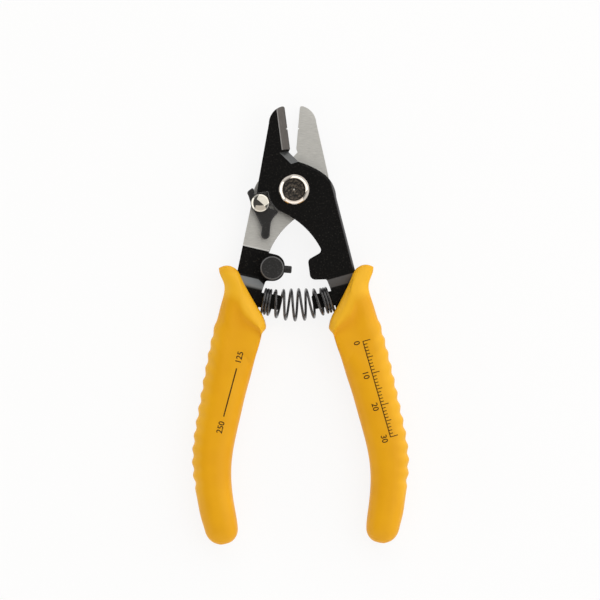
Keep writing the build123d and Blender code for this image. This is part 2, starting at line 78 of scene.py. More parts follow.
def placed(points, side):
    """Puts points of a closed half where that half stands in the open tool.

    The rear half is the front one turned over, so x and z change sign; then the
    half turns about the pivot by half the opening angle and millimetres become metres.
    """
    drawn = np.asarray(points, float) * (side, 1.0, side)
    turn = math.radians(side * HALF_OPENING)
    c, s = math.cos(turn), math.sin(turn)
    out = drawn.copy()
    out[..., 0] = drawn[..., 0] * c - drawn[..., 1] * s
    out[..., 1] = drawn[..., 0] * s + drawn[..., 1] * c
    return out * MM + PIVOT


def unit(vectors):
    """Vectors brought to length 1."""
    return vectors / np.linalg.norm(vectors, axis=-1, keepdims=True)


def flowing(values, at):
    """Natural cubic spline through evenly numbered values, read at given numbers.

    The second derivatives solve the usual tridiagonal system; between two values the
    curve is the cubic that has those values and second derivatives at its ends.
    """
    values = np.asarray(values, float)
    flat = values.reshape(len(values), -1)
    count = len(flat)
    system = np.eye(count)
    inner = np.arange(1, count - 1)
    system[inner, inner - 1] = 1
    system[inner, inner] = 4
    system[inner, inner + 1] = 1
    right = np.zeros_like(flat)
    right[1:-1] = 6 * (flat[2:] - 2 * flat[1:-1] + flat[:-2])
    bend = np.linalg.solve(system, right)
    at = np.clip(at, 0, count - 1)
    low = np.minimum(at.astype(int), count - 2)
    b = (at - low)[:, None]
    a = 1 - b
    curve = a * flat[low] + b * flat[low + 1]
    curve += ((a ** 3 - a) * bend[low] + (b ** 3 - b) * bend[low + 1]) / 6
    return curve.reshape((len(at),) + values.shape[1:])


def linked(name, data):
    """New object that shows the data, in the scene."""
    thing = bpy.data.objects.new(name, data)
    bpy.context.scene.collection.objects.link(thing)
    return thing


def skin(name, grid, loop=False, poles=(), crease=50, marks=None):
    """Mesh of a grid of points, rows along the piece and columns round it.

    Neighbouring rows and columns are joined by four-sided faces, and with loop the last
    row to the first. The two poles are points that close the first and the last row with
    fans of triangles. Marks are named values, one for each point, that a finish can read.
    """
    rows, columns = grid.shape[:2]
    number = np.arange(rows * columns).reshape(rows, columns)
    wide = np.concatenate([number, number[:, :1]], 1)
    full = np.concatenate([wide, wide[:1]], 0) if loop else wide
    quads = np.stack([full[:-1, :-1], full[:-1, 1:], full[1:, 1:], full[1:, :-1]], -1)
    faces = quads.reshape(-1, 4).tolist()
    points = grid.reshape(-1, 3)
    for pole, row in zip(poles, (wide[0], wide[-1])):
        tip = np.full(len(row) - 1, len(points))
        faces += np.stack([row[:-1], row[1:], tip], -1).tolist()
        points = np.concatenate([points, pole[None]])
    mesh = bpy.data.meshes.new(name)
    mesh.from_pydata(points.tolist(), [], faces)
    for mark, values in (marks or {}).items():
        held = np.zeros(len(points))
        held[:rows * columns] = values.reshape(-1)
        mesh.attributes.new(mark, "FLOAT", "POINT").data.foreach_set("value", held)
    work = bmesh.new()
    work.from_mesh(mesh)
    bmesh.ops.remove_doubles(work, verts=work.verts, dist=1e-7)
    bmesh.ops.recalc_face_normals(work, faces=work.faces)
    work.to_mesh(mesh)
    work.free()
    mesh.polygons.foreach_set("use_smooth", np.ones(len(mesh.polygons), bool))
    mesh.set_sharp_from_angle(angle=math.radians(crease))
    return linked(name, mesh)


def turned(name, profile, centre, segments, heights=()):
    """Round piece: radius and height of a profile carried once round a vertical line.

    The profile is a closed one, or its two ends are closed at the heights given.
    """
    profile = np.asarray(profile, float)
    angle = np.linspace(0, 2 * math.pi, segments, endpoint=False)
    grid = np.empty((len(profile), segments, 3))
    grid[..., 0] = profile[:, :1] * np.cos(angle)
    grid[..., 1] = profile[:, :1] * np.sin(angle)
    grid[..., 2] = profile[:, 1:]
    poles = [np.array((0, 0, height)) * MM + centre for height in heights]
    return skin(name, grid * MM + centre, not poles, poles)


def coat(piece, material):
    """Gives a piece, or the solid of that name, a finish of its own."""
    if isinstance(piece, str):
        piece = frame["nodes"][piece]
    piece.data.materials.clear()
    piece.data.materials.append(material)


def dress(piece, material, body, slot, *replaced):
    """Gives a new piece its finish, the body that it rides on and the solids it stands for."""
    coat(piece, material)
    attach(piece, body)
    if replaced:
        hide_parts(*replaced)


def from_pivot(box):
    """Lowest and highest corner of a solid's box, in millimetres from the pivot."""
    return [(np.array(corner) - PIVOT) / MM for corner in box]


# Finishes

def operation(kind, other_first=False):
    """Method that works out a new shader value from a value and others."""
    def combine(tap, *others):
        values = (*others, tap) if other_first else (tap, *others)
        made = tap.finish.node("ShaderNodeMath", {"operation": kind}, dict(enumerate(values)))
        return made["Value"]
    return combine


class Tap:
    """A shader value that ordinary expressions can be written with."""

    def __init__(self, finish, socket):
        self.finish = finish
        self.socket = socket

    __add__ = operation("ADD")
    __radd__ = operation("ADD", True)
    __sub__ = operation("SUBTRACT")
    __rsub__ = operation("SUBTRACT", True)
    __mul__ = operation("MULTIPLY")
    __rmul__ = operation("MULTIPLY", True)
    __pow__ = operation("POWER")
    __abs__ = operation("ABSOLUTE")
    least = operation("MINIMUM")
    sine = operation("SINE")

    def __neg__(self):
        return self * -1.0

    def rises(self, start, end):
        """0 before start, 1 after end, and a smooth step between them."""
        sockets = {"Value": self, "From Min": start, "From Max": end}
        smooth = {"interpolation_type": "SMOOTHSTEP"}
        return self.finish.node("ShaderNodeMapRange", smooth, sockets)["Result"]


class Outputs:
    """The outputs of one node, read by name or number."""

    def __init__(self, finish, node):
        self.finish = finish
        self.outputs = node.outputs

    def __getitem__(self, name):
        return Tap(self.finish, self.outputs[name])


class Finish:
    """A material or a world, and the nodes that work it out."""

    def __init__(self, owner, shader="Principled BSDF", **constants):
        if isinstance(owner, str):
            owner = bpy.data.materials.new(owner)
        self.owner = owner
        owner.use_nodes = True
        self.tree = owner.node_tree
        self.shader = self.tree.nodes[shader]
        self.feed(self.shader, constants)

    def feed(self, node, sockets):
        for name, value in sockets.items():
            socket = node.inputs[name.replace("_", " ") if isinstance(name, str) else name]
            if isinstance(value, Tap):
                self.tree.links.new(value.socket, socket)
            elif isinstance(value, (tuple, list)) and len(socket.default_value) > len(value):
                socket.default_value = (*value, 1.0)
            else:
                socket.default_value = value

    def node(self, kind, settings=None, sockets=None):
        """Any node: its type, its settings, which are set first, and its sockets."""
        made = self.tree.nodes.new(kind)
        for name, value in (settings or {}).items():
            setattr(made, name, value)
        self.feed(made, sockets or {})
        return Outputs(self, made)

    def paint(self, colour, roughness, relief=None, **sockets):
        """Feeds the shader and gives back the material.

        The relief is a height from 0 to 1, the depth that it stands for in millimetres,
        and a strength.
        """
        sockets.update(Base_Color=colour, Roughness=roughness)
        if relief:
            height, depth, strength = relief
            bump = {"Strength": strength, "Distance": depth * MM, "Height": height}
            sockets["Normal"] = self.node("ShaderNodeBump", None, bump)["Normal"]
        self.feed(self.shader, sockets)
        return self.owner

    def mixed(self, mask, plain, other):
        """Colour that is plain where the mask is 0 and other where it is 1."""
        sockets = {0: mask, 6: plain, 7: other}
        return self.node("ShaderNodeMix", {"data_type": "RGBA"}, sockets)[2]

    def layered(self, colour, *layers):
        """Colour with layers laid over it in turn, each a mask and a colour."""
        for mask, over in layers:
            colour = self.mixed(mask, colour, over)
        return colour

    def place(self, side=None):
        """Object coordinates in millimetres; with a side, those of that half when closed."""
        raw = self.node("ShaderNodeTexCoord")["Object"]
        sockets = {"Vector": raw, "Location": tuple(PIVOT), "Scale": (MM, MM, MM)}
        if side is not None:
            sockets["Rotation"] = (0.0, 0.0, math.radians(side * HALF_OPENING))
        return self.node("ShaderNodeMapping", {"vector_type": "TEXTURE"}, sockets)["Vector"]

    def split(self, vector):
        """The three parts of a vector."""
        parts = self.node("ShaderNodeSeparateXYZ", None, {"Vector": vector})
        return parts["X"], parts["Y"], parts["Z"]

    def vectors(self, kind, one, other):
        return self.node("ShaderNodeVectorMath", {"operation": kind}, {0: one, 1: other})

    def stretched(self, vector, x, y, z):
        """Vector whose parts are multiplied by factors of their own."""
        return self.vectors("MULTIPLY", vector, (x, y, z))["Vector"]

    def dot(self, one, other):
        return self.vectors("DOT_PRODUCT", one, other)["Value"]

    def noise(self, vector, scale, detail=2.0, roughness=0.5):
        sockets = {"Vector": vector, "Scale": scale, "Detail": detail, "Roughness": roughness}
        return self.node("ShaderNodeTexNoise", None, sockets)["Fac"]

    def edges(self, width):
        """1 along the rims of a hard-edged piece, within a width in millimetres, else 0."""
        softened = self.node("ShaderNodeBevel", {"samples": 6}, {"Radius": width * MM})["Normal"]
        flat = self.node("ShaderNodeNewGeometry")["Normal"]
        return (1 - self.dot(softened, flat)).rises(0.01, 0.12)


def scaled(colour, *factors):
    """Colour with each part multiplied by its factor; a single factor serves all three."""
    return tuple(part * factor for part, factor in zip(colour, factors * 3))


def apart(x, y, centre):
    """Distance from a centre, seen from the front."""
    east, north = x - centre[0], y - centre[1]
    return (east * east + north * north) ** 0.5


def beyond(x, y, corner, square):
    """Distance past a line through a corner, in the direction square to the line."""
    return (x - corner[0]) * square[0] + (y - corner[1]) * square[1]


def arm_run(x, y):
    """Distance down a half from the pivot, along its leaning arm."""
    return x * math.sin(ARM_LEAN) - y * math.cos(ARM_LEAN)


def oxide(finish, vector, colour, fleck):
    """Black oxide: fine pale flecks in a dark, faintly clouded coat."""
    grain = finish.noise(vector, 2.0, 3.0, 0.8)
    cloud = finish.noise(vector, 0.16, 2.0)
    flecks = grain.rises(0.54, 0.74)
    dark = finish.mixed(cloud, scaled(colour, 0.6), scaled(colour, 1.5))
    return finish.mixed(flecks, dark, fleck), grain


def ground(finish, vector, colour, across=(0.25, 3.2, 1.0)):
    """Ground steel: fine straight lines of slightly different brightness."""
    lines = finish.noise(finish.stretched(vector, *across), 1.9, 4.0, 0.7)
    patch = finish.noise(vector, 0.12, 2.0)
    shade = (lines * 0.75 + patch * 0.25).rises(0.25, 0.75)
    return finish.mixed(shade, scaled(colour, 0.77), scaled(colour, 1.16)), lines


# Where the finish of a half changes, on the half closed, as on its solid: the latch's hub,
# seen from the front and the rear half
LATCH_HUB = {1: (-10.66, -2.67), -1: (-9.83, -4.91)}
# End of the ground face, and of the bend on either half, down the arm
GROUND_END = 19.45
BEND_START = {1: 28.9, -1: 28.7}
BEND_END = 31.6
# Bevel along the edge: its border, its foot and the land at the edge itself
EDGE_BORDER_X = -2.16
EDGE_FOOT_Y = 12.35
EDGE_LAND_X = 0.05
# Bevel of the throat: its upper corner, the direction square to it, and its borders
THROAT_CORNER = (-0.15, 11.5)
THROAT_SQUARE = (0.784, 0.62)
THROAT_BORDER = -2.14
THROAT_TOP_Y = 11.62
THROAT_FOOT_Y = 7.7
THROAT_FOOT_SLOPE = 0.195
THROAT_LEFT_X = -4.0
BEVELS_RIGHT_X = 4.9
# Chamfer down the outer side of the arm: where that side starts, how it leans, the
# chamfer's width, where it fades out at the top and where it ends, down the arm
ARM_TOP = (12.35, -4.0)
ARM_SLOPE = 0.1213
CHAMFER_WIDTH = 0.74
CHAMFER_TOP_Y = 2.5
CHAMFER_END = 29.0
# Corner that the bend of the rear half is cut off at, and the direction square to the cut
BEND_CORNER = (8.6, -27.8)
BEND_SQUARE = (0.632, -0.775)


def blade_finish(name, side, steel):
    """Black oxide half with its ground face, ground bevels painted darker as shade, joggle painted
    with sheen and bright rims, partly wear and partly painted highlight.
    """
    finish = Finish(name, Specular_IOR_Level=0.1)
    vector = finish.place(side)
    x, y, z = finish.split(vector)
    if side < 0:
        x, z = -x, -z
    run = arm_run(x, y)
    dark, grain = oxide(finish, vector, steel.black, (0.042, 0.038, 0.033))
    bright, lines = ground(finish, vector, steel.ground)
    # Ground bevels painted darker than the ground face, as painted shade of their tilt; the
    # throat's is a cooler, lighter copy
    grey = ground(finish, vector, steel.bevel, (3.0, 0.3, 1.0))[0]
    cool = ground(finish, vector, (0.152, 0.157, 0.160), (1.2, 1.2, 1.0))[0]
    # Rims near the latch painted pale: partly wear from the latch working, partly painted highlight
    # of their edges
    rim_wear_and_highlight = finish.edges(0.3) * (1 - apart(x, y, LATCH_HUB[side]).rises(4.5, 8.0))
    # The face that slides on the other half, bright down to the end of the grinding
    face = 1 - abs(z).rises(0.03, 0.06)
    step = face * (run - GROUND_END).rises(0.0, 0.1)
    # The bevels, with a black strip left between the edge's and the throat's
    edge = (x - EDGE_BORDER_X).rises(0.0, 0.12) * (y - EDGE_FOOT_Y).rises(-0.05, 0.05)
    border = 1 - (x - EDGE_BORDER_X).rises(0.16, 0.46)
    land = (x - EDGE_LAND_X).rises(0.0, 0.25)
    throat = (
        (beyond(x, y, THROAT_CORNER, THROAT_SQUARE) - THROAT_BORDER).rises(0.0, 0.12)
        * (1 - (y - THROAT_TOP_Y).rises(-0.05, 0.05))
        * (y - THROAT_FOOT_Y - x * THROAT_FOOT_SLOPE).rises(0.0, 0.1)
        * (x - THROAT_LEFT_X).rises(0.0, 0.1)
    )
    front = z.rises(0.3, 0.45) * (1 - (x - BEVELS_RIGHT_X).rises(0.0, 0.1))
    # The bend, painted grey as a painted sheen of its sloped facet
    bend = (run - BEND_START[side]).rises(0.0, 0.3)
    if side > 0:
        bend = bend * (1 - (run - BEND_END).rises(-0.25, 0.25)) * z.rises(1.2, 1.5)
    else:
        cut = beyond(x, y, BEND_CORNER, BEND_SQUARE)
        bend = bend * (1 - (run - BEND_END).rises(-0.5, 0.5)) * cut.rises(-0.15, 0.15)
        bend = bend * z.rises(-1.7, -1.5)
    # The chamfer down the outside of the arm
    wall = ARM_TOP[0] + (ARM_TOP[1] - y) * ARM_SLOPE
    rim = (
        (x - wall + CHAMFER_WIDTH).rises(0.0, 0.5) * z.rises(1.0, 2.2)
        * (1 - (y - CHAMFER_TOP_Y).rises(0.0, 3.0))
        * (1 - (run - CHAMFER_END).rises(-3.0, 0.0))
    )
    # Painted sheen of the bend: a lighter copy on the rear half, whose bend faces up towards the
    # key light
    bend_sheen = (0.11, 0.11, 0.113) if side > 0 else (0.235, 0.25, 0.262)
    colour = finish.layered(
        dark,
        # Painted highlight on the rims near the latch, partly wear
        (rim_wear_and_highlight * 0.9, (0.25, 0.25, 0.255)),
        # Painted shade of the tilted edge bevel
        (edge * front, grey),
        (edge * front * border * 0.6, (0.36, 0.355, 0.35)),
        (edge * front * land * 0.7, (0.055, 0.055, 0.055)),
        # Painted shade of the tilted throat bevel, a cooler copy
        (throat * front, cool),
        # Painted sheen on the bend
        (bend * 0.92, bend_sheen),
        (rim * 0.5, (0.2, 0.2, 0.205)),
        (face, bright),
        (step * 0.7, (0.75, 0.745, 0.73)),
    )
    bare = ((edge + throat).least(1.0) * front + face + rim * 0.5).least(1.0)
    rough = 0.5 - 0.06 * bare + 0.12 * grain * (1 - bare)
    relief = (grain * (1 - bare) + (lines * 0.35) * bare, 0.012, 0.6)
    return finish.paint(colour, rough, relief, Metallic=bare * 0.55)


# Radius of the post's flat end inside its rim, which is painted pale as partly wear and partly
# painted highlight, and of the bolt's dish
POST_FLAT = 3.16
BOLT_DISH = 2.9


def charcoal_finish(name, steel, rim_height=None, centre=None, thread=0.0):
    """Charcoal steel of the small pieces: rims painted pale as partly wear and partly painted edge
    highlights, turning marks on a post, a thread with painted shade in its grooves.

    The thread is a sine along the stop screw's own axis, one wave for each pitch.
    """
    finish = Finish(name, Specular_IOR_Level=0.45)
    vector = finish.place()
    colour, grain = oxide(finish, vector, steel.charcoal, (0.055, 0.055, 0.055))
    # Rims painted pale: partly wear, partly painted highlight of the edges
    colour = finish.mixed(finish.edges(0.3) * 0.8, colour, (0.15, 0.15, 0.16))
    height = grain
    if thread:
        wave = (finish.dot(vector, STOP_AXIS) * (2 * math.pi / thread)).sine()
        groove = wave.rises(-0.6, 0.8)
        # Painted shade: the thread's grooves painted nearly black
        colour = finish.mixed(groove * 0.7, colour, (0.004, 0.004, 0.004))
        height = 1.0 - groove
    if rim_height is not None:
        x, y, z = finish.split(vector)
        reach = apart(x, y, centre)
        rings = (reach * 14.0).sine()
        # Painted highlight: the post's rim painted pale, partly wear
        rub_and_sheen = (reach - POST_FLAT).rises(0.0, 0.12) * z.rises(rim_height - 0.4, rim_height - 0.1)
        colour = finish.mixed(rub_and_sheen * 0.75, colour, (0.15, 0.15, 0.15))
        height = grain + rings * 0.6
    depth = 0.12 if thread else 0.012
    return finish.paint(colour, 0.42 + 0.14 * grain, (height, depth, 0.5), Metallic=0.15)


def bright_finish(name, colour, roughness):
    """Plated metal with faint turning marks and handling smears."""
    finish = Finish(name, Metallic=1.0)
    vector = finish.place()
    smear = finish.noise(vector, 0.9, 3.0)
    marks = finish.noise(finish.stretched(vector, 1.0, 1.0, 9.0), 3.0, 2.0)
    shade = finish.mixed(smear.rises(0.35, 0.7), scaled(colour, 0.9), colour)
    return finish.paint(shade, roughness + 0.06 * smear, (marks, 0.002, 0.15))


def pivot_end_finish(name):
    """Dark, pitted end of the bolt with a small bright point in its middle."""
    finish = Finish(name)
    vector = finish.place()
    x, y, _ = finish.split(vector)
    reach = apart(x, y, (0.0, 0.0))
    pits = finish.noise(vector, 1.3, 5.0, 0.7)
    fine = finish.noise(vector, 4.0, 2.0)
    colour = finish.layered(
        (0.005, 0.0045, 0.004),
        (pits.rises(0.42, 0.66), (0.13, 0.105, 0.082)),
        ((reach - BOLT_DISH).rises(0.0, 0.4), (0.012, 0.010, 0.009)),
        (1 - reach.rises(0.16, 0.34), (0.62, 0.60, 0.56)),
    )
    relief = (pits + 0.15 * fine, 0.05, 0.6)
    return finish.paint(colour, 0.34 + 0.25 * fine, relief, Metallic=0.5)


def wire_finish(name):
    """Oil-blackened spring wire with a sharp shine."""
    finish = Finish(name, Specular_IOR_Level=0.7, Coat_Weight=0.25, Coat_Roughness=0.08)
    vector = finish.place()
    grain = finish.noise(vector, 3.0, 3.0)
    brown = finish.noise(vector, 0.5, 2.0)
    colour = finish.layered(
        (0.008, 0.008, 0.009),
        (grain.rises(0.35, 0.75), (0.05, 0.05, 0.053)),
        (brown.rises(0.55, 0.75) * 0.5, (0.07, 0.045, 0.04)),
    )
    return finish.paint(colour, 0.14 + 0.1 * grain, (grain, 0.004, 0.3), Metallic=0.15)


def grip_finish(name, side, look):
    """Satin moulded plastic: fine grain, soft clouding, scuffed patches, a paler guard crest and
    ribbed side that are partly wear and partly painted highlight, and painted shade in the groove.
    """
    finish = Finish(name, Specular_IOR_Level=0.22)
    vector = finish.place(side)
    grain = finish.noise(vector, 7.0, 2.0)
    cloud = finish.noise(vector, 0.09, 2.0)
    scuff = finish.noise(finish.stretched(vector, 1.0, 0.2, 1.0), 1.2, 5.0, 0.7)
    rub_and_sheen = finish.node("ShaderNodeAttribute", {"attribute_name": "rub_and_sheen"})["Fac"]
    hollow = finish.node("ShaderNodeAttribute", {"attribute_name": "hollow"})["Fac"]
    colour = tuple(look.colour)
    red, green, _ = colour
    shade = finish.layered(
        scaled(colour, 0.95, 0.92, 0.85),
        (cloud.rises(0.3, 0.7), colour),
        (scuff.rises(0.62, 0.8) * 0.3, scaled(colour, 1.04, 1.1, 2.0)),
        # Painted highlight: guard crest and ribbed side painted paler and yellower, partly wear
        (rub_and_sheen * 0.85, (red * 1.09, green * 1.22, 0.02)),
        # Painted shade: the groove behind the guard painted a deeper, darker orange
        (hollow * 0.8, (red * 0.94, green * 0.86, 0.003)),
    )
    return finish.paint(shade, 0.4 + 0.12 * scuff, (grain + 0.4 * scuff, 0.012, 0.35))


def ink_finish(name, colour):
    """Dark print, slightly broken where the plastic's grain shows through."""
    finish = Finish(name, Specular_IOR_Level=0.12)
    vector = finish.place()
    wear = finish.noise(vector, 4.5, 3.0)
    shade = finish.mixed(wear.rises(0.55, 0.8) * 0.35, colour, scaled(colour, 3.0, 2.6, 2.0))
    return finish.paint(shade, 0.55 + 0.1 * wear)


def floor_finish(name, colour, white):
    """Pale table: shown near white, with the tool's soft shadow kept on it."""
    finish = Finish(name)
    speck = finish.noise(finish.node("ShaderNodeTexCoord")["Object"], 300.0)
    tone = finish.mixed(speck * 0.2, colour, scaled(colour, 0.97))
    glow = finish.node("ShaderNodeEmission", None, {"Color": (1.0, 1.0, 1.0), "Strength": 1.0})
    light = finish.node("ShaderNodeLightPath")
    rays = light["Is Camera Ray"] + light["Is Glossy Ray"] + light["Is Transmission Ray"]
    paper = Outputs(finish, finish.shader)["BSDF"]
    sockets = {0: rays.least(1.0) * white, 1: paper, 2: glow["Emission"]}
    mixer = finish.node("ShaderNodeMixShader", None, sockets)
    finish.feed(finish.tree.nodes["Material Output"], {"Surface": mixer["Shader"]})
    return finish.paint(tone, 0.9)


# Settings that a user would change

def tint(name, description, default):
    return FloatVectorProperty(
        name=name, description=description, default=default, subtype="COLOR", min=0.0, max=1.0)


def power(name, description, default):
    return FloatProperty(
        name=name, description=description, default=default, min=0.0, unit="POWER")


class SteelSettings(bpy.types.PropertyGroup):
    black: tint("Black oxide", "Colour of the blackened steel", (0.0018, 0.0017, 0.0017))
    charcoal: tint(
        "Charcoal", "Colour of the latch, the post and the screws", (0.0095, 0.0092, 0.0092))
    ground: tint("Ground steel", "Colour of the bright ground face", (0.585, 0.58, 0.555))
    bevel: tint("Bevel", "Colour of the ground bevels", (0.122, 0.112, 0.105))


class PlatingSettings(bpy.types.PropertyGroup):
    nickel: tint("Nickel", "Colour of the ring nut's plating", (0.68, 0.62, 0.555))
    chrome: tint("Chrome", "Colour of the latch rivet's plating", (0.53, 0.505, 0.45))


class GripSettings(bpy.types.PropertyGroup):
    colour: tint("Plastic", "Colour of the moulded grips", (0.80, 0.385, 0.004))
    ink: tint("Print", "Colour of the printed scale", (0.028, 0.010, 0.004))
    rib_depth: FloatProperty(
        name="Rib depth", description="Depth of the hollows between the ribs, in millimetres",
        default=0.52, min=0.0, max=1.0)
    rings: IntProperty(
        name="Rings", description="Rings of points from the guard to the heel",
        default=330, min=40, max=600)


class SpringSettings(bpy.types.PropertyGroup):
    wire: FloatProperty(
        name="Wire", description="Diameter of the spring's wire, in millimetres",
        default=0.8, min=0.3, max=1.2)
    around: IntProperty(
        name="Sides", description="Points round the wire", default=14, min=6, max=32)


class StageSettings(bpy.types.PropertyGroup):
    floor: tint("Floor", "Colour of the floor", (0.93, 0.93, 0.93))
    white: FloatProperty(
        name="White", description="Share of plain white in the floor that the camera sees",
        default=0.86, min=0.0, max=1.0, subtype="FACTOR")
    key: power("Key light", "Power of the large soft light at the upper right", 22.5)
    fill: power("Fill light", "Power of the soft light below the handles", 6.6)
    side: power("Side light", "Power of the low light at the left", 2.0)
    sky: FloatProperty(
        name="Sky", description="Strength of the even light from all round", default=0.9, min=0.0)


class StripperSettings(bpy.types.PropertyGroup):
    steel: PointerProperty(type=SteelSettings, name="Steel")
    plating: PointerProperty(type=PlatingSettings, name="Plating")
    grips: PointerProperty(type=GripSettings, name="Grips")
    spring: PointerProperty(type=SpringSettings, name="Spring")
    stage: PointerProperty(type=StageSettings, name="Stage")


def settings():
    return bpy.context.scene.stripper


# Grips: edges of one grip on its closed half, from the mouth's rim to the heel
GRIP_INNER = [
    (5.2, -43.4), (6.1, -44.75), (6.5, -46.4), (6.85, -48.8), (7.25, -51.0), (7.75, -54.0),
    (8.1, -56.2), (8.5, -58.5), (9.5, -64.0), (10.5, -71.0), (11.65, -80.0), (11.65, -88.0),
    (10.5, -94.8), (9.2, -99.8), (8.35, -103.4), (8.3, -105.6), (9.1, -107.4), (10.6, -108.6),
    (12.9, -109.33),
]
GRIP_OUTER = [
    (20.75, -25.95), (20.35, -27.5), (19.4, -29.3), (18.6, -31.2), (18.6, -33.9), (19.35, -38.0),
    (20.05, -42.0), (20.9, -45.0), (22.35, -57.0), (23.35, -68.5), (24.1, -79.5), (23.35, -88.5),
    (21.5, -95.5), (20.0, -100.8), (18.6, -104.4), (17.75, -106.5), (16.6, -108.0), (15.0, -108.98),
    (12.9, -109.33),
]
GRIP_HALF = [5.77] * 13 + [5.72, 5.52, 5.1, 4.3, 3.0, 0.0]
# The mouth's rim bows out from the straight line between its ends: share along, bow
MOUTH_BOW = [
    (0.0, 0.0), (0.01, 0.5), (0.03, 0.95), (0.1, 1.67), (0.18, 2.1), (0.34, 2.42), (0.5, 2.87),
    (0.66, 3.4), (0.73, 3.78), (0.78, 4.07), (0.83, 4.12), (0.88, 3.9), (0.93, 3.3),
    (0.965, 2.45), (0.985, 1.6), (0.995, 0.8), (1.0, 0.0),
]
# The rolled rim and the lower ground behind it: distance from the rim, share of the half
# thickness
GUARD = [
    (0.0, 0.45), (0.03, 0.54), (0.15, 0.63), (0.4, 0.71), (0.8, 0.785), (1.3, 0.85),
    (2.0, 0.915), (2.7, 0.963), (3.2, 0.988), (3.6, 0.998), (3.9, 1.0), (4.1, 0.988),
    (4.3, 0.958), (4.5, 0.923), (4.7, 0.895), (4.9, 0.879), (5.2, 0.871), (5.7, 0.87),
    (6.6, 0.878), (8.5, 0.905), (10.5, 0.945), (12.5, 0.98), (15.0, 1.0),
]
# Across the grip: width of the rolled rim, and how far the ground drops behind it
GUARD_ACROSS = [
    (0.0, 0.5, 1.0), (0.1, 0.53, 1.0), (0.3, 0.84, 1.0), (0.55, 1.19, 1.0), (0.7, 1.23, 0.7),
    (0.77, 1.24, 0.45), (0.85, 1.35, 0.2), (1.0, 1.5, 0.0),
]
# How square the section is: distance from the rim, power of the superellipse
SQUARENESS = [(0.0, 11.0), (2.5, 10.0), (5.0, 6.0), (9.0, 2.9), (16.0, 2.45), (200.0, 2.4)]
# Where the rolled rim's crest lies; how far each grip stands from its drawn place, along
# the arm; and the points round a grip
GUARD_CREST = 3.9
GRIP_SLIDE = 0.35
GRIP_AROUND = 112
# Ribs: the first hollow's place on the outer side, from the station that it is measured from
RIB_PITCH = 4.15
RIB_COUNT = 12
RIB_START = 8.15
RIB_STATION = 5.0
# Distances from the mouth at which the first rings of a grip stand, and the points that a
# spline is measured by
NEAR_MOUTH = [
    0.0, 0.04, 0.1, 0.2, 0.35, 0.55, 0.8, *(1.1 + 0.3 * step for step in range(24)),
    8.4, 8.8, 9.3, 9.8, 10.4,
]
MEASURED = 3000
# Slot that the arm goes into: the ends of its rings and their half heights
SLOT_INNER = [(8.9, -44.0), (8.0, -39.0), (7.7, -37.4), (7.3, -37.9), (6.6, -39.4)]
SLOT_OUTER = [(16.2, -35.0), (15.3, -28.0), (15.15, -26.4), (15.8, -25.9), (17.6, -25.4)]
SLOT_HALF = [1.6, 1.6, 1.62, 1.95, 2.5]


def read(table, at, column=1):
    """Column of a table at given places, on straight lines between its rows."""
    table = np.array(table)
    return np.interp(at, table[:, 0], table[:, column])


def length_along(points):
    """Distance run from the first point to each point of a line."""
    return np.append(0, np.cumsum(np.linalg.norm(np.diff(points, axis=0), axis=1)))


def section(first, last, count, power, spacing=2.7):
    """Rings of points across a grip, each a superellipse on the line from first to last.

    Across, the points stand at share s = (1 + |cos t|^(2/spacing) with its sign) / 2, for
    even angles t. In height they are (1 - |2s - 1|^power)^(1/power) with the sign of
    sin t, still to be multiplied by the half thickness.
    """
    angle = np.linspace(0, 2 * math.pi, count, endpoint=False)
    wide = np.sign(np.cos(angle)) * np.abs(np.cos(angle)) ** (2 / spacing)
    share = (1 + wide) / 2
    power = np.broadcast_to(np.asarray(power, float), len(first))[:, None]
    tall = np.sign(np.round(np.sin(angle), 9)) * (1 - np.abs(wide) ** power) ** (1 / power)
    first = np.asarray(first, float)[:, None]
    last = np.asarray(last, float)[:, None]
    ring = np.empty((len(first), count, 3))
    ring[..., :2] = first + (last - first) * share[:, None]
    ring[..., 2] = tall
    return ring, share


def rolled_rim(square, share):
    """The rim's share of the half thickness, where its crest is painted paler as partly wear and
    partly painted highlight, and where the groove behind it gets painted shade.

    The profile is read at the distance square to the rim divided by the rim's width
    there. Its drop behind the crest fades towards the outside.
    """
    reach = square[:, None] / read(GUARD_ACROSS, share)
    drop = read(GUARD_ACROSS, share, 2)
    rim = read(GUARD, reach)
    rim = np.where(reach > GUARD_CREST, 1 - (1 - rim) * drop, rim)
    # Where the crest is painted paler: partly wear, partly painted highlight
    rub_and_sheen = np.interp(reach, [0.0, 1.0, 3.3, 4.1], [0.35, 1.0, 1.0, 0.0])
    # Where the groove behind the crest gets painted shade
    hollow = np.interp(reach, [3.95, 4.4, 5.0, 6.3], [0.0, 1.0, 1.0, 0.0]) * drop
    return rim, rub_and_sheen, hollow


def ribs(run, share, rib_depth):
    """Depth of the hollows between the ribs, and where the ribbed side is painted paler as partly
    wear from hands and partly painted highlight.

    Each hollow is the rib depth times a squared sine of the distance run, and fades
    away from the outer side.
    """
    length = RIB_COUNT * RIB_PITCH
    inside = (run > 0) & (run < length)
    wave = np.where(inside, np.sin(math.pi * run / RIB_PITCH) ** 2, 0.0)
    outer = np.clip((share - 0.62) / 0.38, 0, 1) ** 0.7
    ribbed_sheen = np.interp(run, [-4.0, 2.0, length, length + 8.0], [0, 1, 1, 0])
    # Where the ribbed side is painted paler: partly wear, partly painted highlight
    rub_and_sheen = 0.7 * ribbed_sheen[:, None] * np.clip((share - 0.72) / 0.24, 0, 1)
    return rib_depth * wave[:, None] * outer, rub_and_sheen


